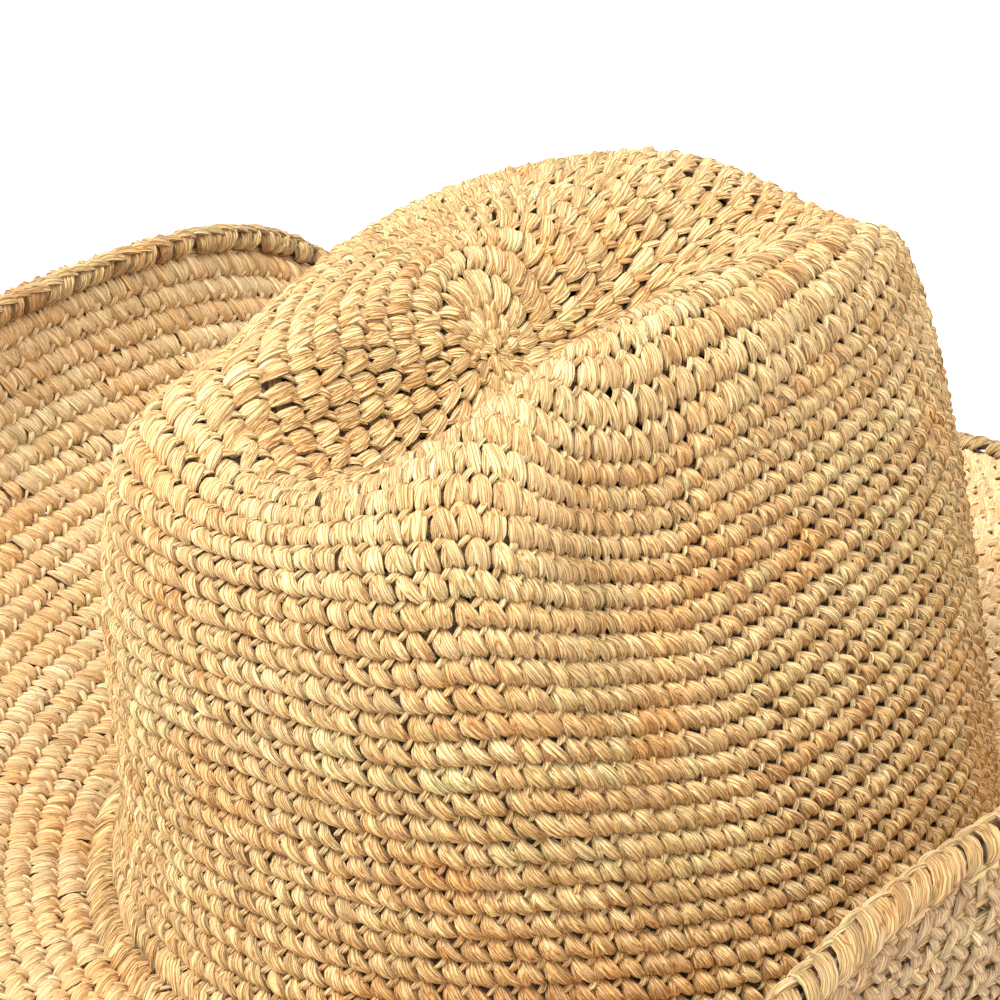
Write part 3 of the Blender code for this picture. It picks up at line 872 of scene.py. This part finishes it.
def raffia_pieces():
    """Every raffia piece of the hat."""
    crown = raffia("crown_raffia", STRAW)
    # The brim's straw is lightened and its painted shade softened, in part as painted light on the brim.
    brim = raffia("lit_brim_raffia", LIT_BRIM_STRAW, 0.6)
    # The rim's straw is darkened, in part as painted shade on the rim.
    edge = raffia("shaded_edge_raffia", SHADED_EDGE_STRAW)
    # The wrong side's strips are darkened as painted shade, for where they show through the gaps.
    inner = raffia("shaded_inner_raffia", SHADED_INNER_STRAW)
    # Near-black cores: painted shade in the gaps between the crown's stitches.
    deep = raffia("core_shade_raffia", CORE_SHADE_STRAW)
    fine = {"rings": 8, "sides": 14, "core_width": 1.8 * MM}
    light = {"rings": 7, "sides": 10, "core_width": 2.4 * MM}
    stitch_pieces("crown_top", 0, TOP_ROUNDS, crown, inner, deep, spread=1.07, **fine)
    stitch_pieces("crown_side", TOP_ROUNDS, SIDE_ROUNDS, crown, inner, deep, spread=1.0, **fine)
    # The brim's cores take the darkened rim straw: a lighter painted shade in the brim's gaps.
    stitch_pieces("brim", SIDE_ROUNDS, ROUNDS, brim, inner, edge, spread=1.18, **light)
    edge_wraps(edge)
    edge_line(edge)


# ---------------------------------------------------------------- wire, sweatband and label

def round_tube(points, side, normal, radius, sides):
    """One round tube through a row of points, with its strand coordinates."""
    angle = np.arange(sides) / sides * 2 * math.pi - math.pi
    radius = np.broadcast_to(radius, len(points))
    ring = np.cos(angle)[None, :, None] * normal[:, None] + np.sin(angle)[None, :, None] * side[:, None]
    place = points[:, None] + radius[:, None, None] * ring
    run = np.cumsum(np.linalg.norm(np.diff(points, axis=0, prepend=points[:1]), axis=-1))
    strand = np.stack(np.broadcast_arrays(angle * radius[:, None] / MM, run[:, None] / MM, 0.0), -1)
    return place[None], strand[None]


def wire_pieces():
    """The shaping wire in the rim and the crimped sleeve over its ends."""
    finish = steel("drawn_steel")
    half = END_GAP / 2 / (CROWN_LENGTH / 2 + BRIM_WIDTH)
    theta = np.linspace(BACK + half, BACK + 2 * math.pi - half, 721)
    points, out, side = rim_place(theta, np.zeros_like(theta), np.zeros_like(theta))
    made = round_tube(points, np.cross(out, side), out, WIRE_RADIUS, 12)
    mesh = tube_mesh("brim_wire_drawn", *made, creased=False)
    add_piece(mesh.name, mesh, finish, ["brim_wire"])

    # Places along the sleeve and its radius there, with two crimps and rounded mouths
    at = np.array([-0.5, -0.48, -0.44, -0.26, -0.21, -0.16, 0.16, 0.21, 0.26, 0.44, 0.48, 0.5])
    radius = np.array([0.83, 0.93, 1.0, 1.0, 0.90, 1.0, 1.0, 0.90, 1.0, 1.0, 0.93, 0.83]) * JOINER_RADIUS
    place, out, side = rim_place(np.array([BACK]), np.zeros(1), np.zeros(1))
    points = place + (at * JOINER_LENGTH)[:, None] * side
    axes = np.broadcast_to(np.cross(out, side), points.shape), np.broadcast_to(out, points.shape)
    made = round_tube(points, *axes, radius, 20)
    mesh = tube_mesh("wire_joiner_crimped", *made, creased=False)
    add_piece(mesh.name, mesh, finish, ["wire_joiner"])


def ribbon(name, node, start, end, depth, height, finish, thickness):
    """Grosgrain ribbon with cross ribs round the inside of the crown."""
    fine = np.linspace(start, end, 721)
    middle = np.full_like(fine, WALL_END - BAND_HEIGHT / 2)
    normal, _, _ = directions(fine, middle)
    line = hat_surface(fine, middle) - normal * depth
    run = np.concatenate([[0], np.cumsum(np.linalg.norm(np.diff(line, axis=0), axis=1))])
    count = 2 * round(run[-1] / RIB) + 1
    along = np.linspace(0, run[-1], count)
    theta = np.interp(along, run, fine)
    sway = 0.00012 * np.sin(along / 0.021) + 0.00008 * np.sin(along / 0.0083)
    half = thickness / 2 * (0.84 + 0.16 * (np.arange(count) % 2))

    # Places across the ribbon and the share of its thickness there, fullest at the selvedges
    edge = np.array([0.0, 0.008, 0.03, 0.25, 0.5, 0.75, 0.97, 0.992, 1.0])
    full = np.array([0.35, 0.9, 1.0, 0.9, 0.9, 0.9, 1.0, 0.9, 0.35])
    across = np.concatenate([edge, edge[::-1]])
    bulge = np.concatenate([full, -full[::-1]])
    s = WALL_END - height * across[None, :] + np.zeros((count, 1))
    around = theta[:, None] + np.zeros_like(s)
    normal, _, _ = directions(around, s)
    deep = depth + sway[:, None] + thickness / 2 + bulge[None, :] * half[:, None]
    points = hat_surface(around, s) + SHIFT - normal * deep[..., None]
    strand = np.stack(np.broadcast_arrays(across * height / MM, along[:, None] / MM, 0.0), -1)
    mesh = tube_mesh(name, points[None], strand[None], creased=False)
    piece = add_piece(name, mesh, finish, [node])


def dashes(theta, s, face, length, radius, rng):
    """Short sewn threads at angles along a round, each one's ends going into the ribbon."""
    rings = 7
    along = np.linspace(-0.5, 0.5, rings)
    around = theta[:, None] + along * length[:, None]
    rise = stations(rings, -0.9, 0.35, 0.75, 0.75, 0.75, 0.35, -0.9)
    down = s + 0.0002 * rng.standard_normal((len(theta), 1)) + 0.0003 * along
    down = np.broadcast_to(down, around.shape)
    normal, away, _ = directions(around, down)
    points = hat_surface(around, down) + SHIFT - normal * (face + rise * radius)[None, :, None]
    size = np.full(around.shape, radius)
    return sweep(points, away, -normal, size, size * 0.9, 10, 0.0, rng, under=0.0)


def sweatband_pieces(thread):
    """Ribbed ribbon inside the crown's foot, the tab over its joint and its running stitch."""
    tape = cloth("grosgrain", ((0.40, 0.32, 0.21), (0.62, 0.53, 0.38)), 0.30, RIB / MM)
    turn = 2 * math.pi
    gap = END_GAP / 2 / (CROWN_LENGTH / 2)
    tab = TAB_WIDTH / CROWN_LENGTH
    for name, node, start, end, depth in (
        ("sweatband_ribbon", "sweatband", BACK + gap, BACK + turn - gap, BAND_DEPTH),
        ("sweatband_tab_ribbon", "sweatband_tab", BACK - tab, BACK + tab, TAB_DEPTH),
    ):
        ribbon(name, node, start, end, depth, BAND_HEIGHT, tape, BAND_THICKNESS)
    rng = np.random.default_rng(41)
    theta, length = round_angles(WALL_END, RUNNING_STITCHES)
    theta = (theta[:-1] + theta[1:]) / 2
    off_tab = np.abs((theta - BACK + math.pi) % turn - math.pi) > tab * 1.25
    theta = theta[off_tab]
    size = RUNNING_LENGTH / length * turn * (1 + 0.10 * rng.standard_normal(len(theta)))
    made = dashes(theta, WALL_END - SEAM_INSET, BAND_DEPTH + BAND_THICKNESS, size, RUNNING_RADIUS, rng)
    mesh = tube_mesh("sweatband_running_stitch", *made, creased=False)
    add_piece(mesh.name, mesh, thread, ["sweatband_thread"])


def label_axis():
    """Middle of the line that the label swings about."""
    seam = WALL_END - BAND_HEIGHT + SEAM_INSET
    normal, _, _ = directions(np.array(BACK), np.array(seam))
    face = hat_surface(BACK, seam) + SHIFT - normal * LABEL_DEPTH
    return face - np.array([0.0, HINGE_OFFSET, 0.0])


def label_tape():
    """Blank woven label with its folded ends, hung from its top edge and slightly bowed."""
    tape = cloth("woven_label", ((0.70, 0.66, 0.57), (0.90, 0.88, 0.81)), 0.25, 0.36)
    columns = 61
    x = np.linspace(-0.5, 0.5, columns) * LABEL_WIDTH
    folded = 0.62 + 0.38 * smooth(0.36, 0.38, np.abs(x) / LABEL_WIDTH)
    folded[[0, -1]] = 0.45

    # Places down the label and the share of its thickness there
    edge = np.array([0.0, 0.012, 0.04, 0.15, 0.3, 0.5, 0.7, 0.85, 0.96, 0.988, 1.0])
    full = np.array([0.3, 0.8, 1.0, 1.0, 1.0, 1.0, 1.0, 1.0, 1.0, 0.8, 0.3])
    down = np.concatenate([edge, edge[::-1]])
    bulge = np.concatenate([full, -full[::-1]]) * LABEL_THICKNESS / 2
    bow = 0.0005 * np.cos(x / LABEL_WIDTH * math.pi)[:, None] * down**2
    y = -bow + bulge * folded[:, None]
    z = -HINGE_OFFSET - down * LABEL_HEIGHT
    points = label_axis() + np.stack(np.broadcast_arrays(x[:, None], y, z), -1)
    strand = np.stack(np.broadcast_arrays(down * LABEL_HEIGHT / MM, x[:, None] / MM, 3.0), -1)
    mesh = tube_mesh("label_tape", points[None], strand[None], creased=False)
    piece = add_piece(mesh.name, mesh, tape, ["label"], "label")


def label_stitches(thread):
    """Thread along the label's top edge, its ends going into the band, and the whips round it."""
    axis = label_axis()
    rings = 61
    at = np.linspace(-0.5, 0.5, rings) * LABEL_WIDTH
    into_band = 0.0020 * smooth(LABEL_WIDTH * 0.44, LABEL_WIDTH * 0.5, np.abs(at))
    line = axis + np.stack([at, into_band, np.zeros(rings)], -1)
    ahead = np.broadcast_to([0.0, 0.0, 1.0], line.shape)
    outward = np.broadcast_to([0.0, 1.0, 0.0], line.shape)
    made = [round_tube(line, ahead, outward, EDGE_THREAD_RADIUS, 12)]
    turn = np.linspace(-math.pi, math.pi, rings)
    for x in np.linspace(-0.42, 0.42, WHIPS) * LABEL_WIDTH:
        out = np.stack([np.zeros(rings), np.cos(turn), np.sin(turn)], -1)
        lean = x + WHIP_HALF_LEAN * turn[:, None] / math.pi
        loop = axis + WHIP_RADIUS * out + np.array([1.0, 0, 0]) * lean
        sideways = np.broadcast_to([1.0, 0.0, 0.0], loop.shape)
        made.append(round_tube(loop, sideways, out, WHIP_THREAD_RADIUS, 12))
    points, strand = (np.concatenate(parts) for parts in zip(*made))
    mesh = tube_mesh("label_whip_stitches", points, strand, creased=False)
    add_piece(mesh.name, mesh, thread, ["label_thread"])


def trim_pieces():
    """The sweatband and the label, sewn with one thread."""
    thread = yarn("ecru_thread", ((0.45, 0.38, 0.26), (0.82, 0.76, 0.62)))
    sweatband_pieces(thread)
    label_tape()
    label_stitches(thread)


# ---------------------------------------------------------------- stage

FLOOR_HALF = 6.0
AZIMUTH = math.radians(34.12)
ELEVATION = math.radians(29.61)
AIM_HEIGHT = 0.055
CAMERA_DISTANCE = 0.64
SENSOR = 36.0
FOCAL_LENGTH = 3.1774 * SENSOR
CAMERA_SHIFT = (-0.0632, 0.0822)
LAMP_DISTANCE = 2.0
LAMP_COLOUR = (1.0, 0.985, 0.955)

# Each lamp's direction from the hat, its diameter and its power
LAMPS = {
    "key": ((-0.16, -0.46, 0.87), 0.6, 42.0),
    "top": ((0.40, 0.05, 0.91), 1.2, 20.0),
    "fill": ((0.50, -0.66, 0.56), 1.2, 8.0),
}


def floor_piece():
    """Pale floor under the hat."""
    floor_mesh = bpy.data.meshes.new("floor")
    far = FLOOR_HALF
    corners = [(-far, -far, 0), (far, -far, 0), (far, far, 0), (-far, far, 0)]
    floor_mesh.from_pydata(corners, [], [(0, 1, 2, 3)])
    floor = bpy.data.objects.new("floor", floor_mesh)
    paint, _, shader = new_material("floor_paint")
    shader.inputs["Base Color"].default_value = (0.86, 0.86, 0.87, 1)
    shader.inputs["Roughness"].default_value = 0.9
    floor_mesh.materials.append(paint)
    bpy.context.scene.collection.objects.link(floor)


def camera_piece():
    """Camera in front of the hat's left side, looking down at it."""
    aim = Vector(SHIFT) + Vector((0, 0, AIM_HEIGHT))
    back = Vector((
        math.sin(AZIMUTH) * math.cos(ELEVATION),
        -math.cos(AZIMUTH) * math.cos(ELEVATION),
        math.sin(ELEVATION),
    ))
    right = Vector((math.cos(AZIMUTH), math.sin(AZIMUTH), 0))
    up = back.cross(right)
    lens = bpy.data.cameras.new("camera")
    lens.sensor_width = SENSOR
    lens.lens = FOCAL_LENGTH
    lens.shift_x, lens.shift_y = CAMERA_SHIFT
    camera = bpy.data.objects.new("camera", lens)
    camera.matrix_world = Matrix.Translation(aim + back * CAMERA_DISTANCE) @ Matrix((
        (right.x, up.x, back.x, 0),
        (right.y, up.y, back.y, 0),
        (right.z, up.z, back.z, 0),
        (0, 0, 0, 1),
    ))
    bpy.context.scene.collection.objects.link(camera)
    bpy.context.scene.camera = camera


def light_pieces():
    """Three soft lamps above the hat and a white world."""
    for name, (towards, size, power) in LAMPS.items():
        light = bpy.data.lights.new(name, "AREA")
        light.shape = "DISK"
        light.size = size
        light.energy = power
        light.color = LAMP_COLOUR
        lamp = bpy.data.objects.new(name, light)
        direction = Vector(towards).normalized()
        lamp.location = direction * LAMP_DISTANCE
        lamp.rotation_euler = direction.to_track_quat("Z", "Y").to_euler()
        bpy.context.scene.collection.objects.link(lamp)
    world = bpy.data.worlds.new("studio")
    world.use_nodes = True
    world.node_tree.nodes["Background"].inputs["Color"].default_value = (1.0, 1.0, 1.0, 1)
    world.node_tree.nodes["Background"].inputs["Strength"].default_value = 1.0
    bpy.context.scene.world = world
    bpy.context.scene.view_settings.view_transform = "Standard"


raffia_pieces()
wire_pieces()
trim_pieces()
floor_piece()
camera_piece()
light_pieces()
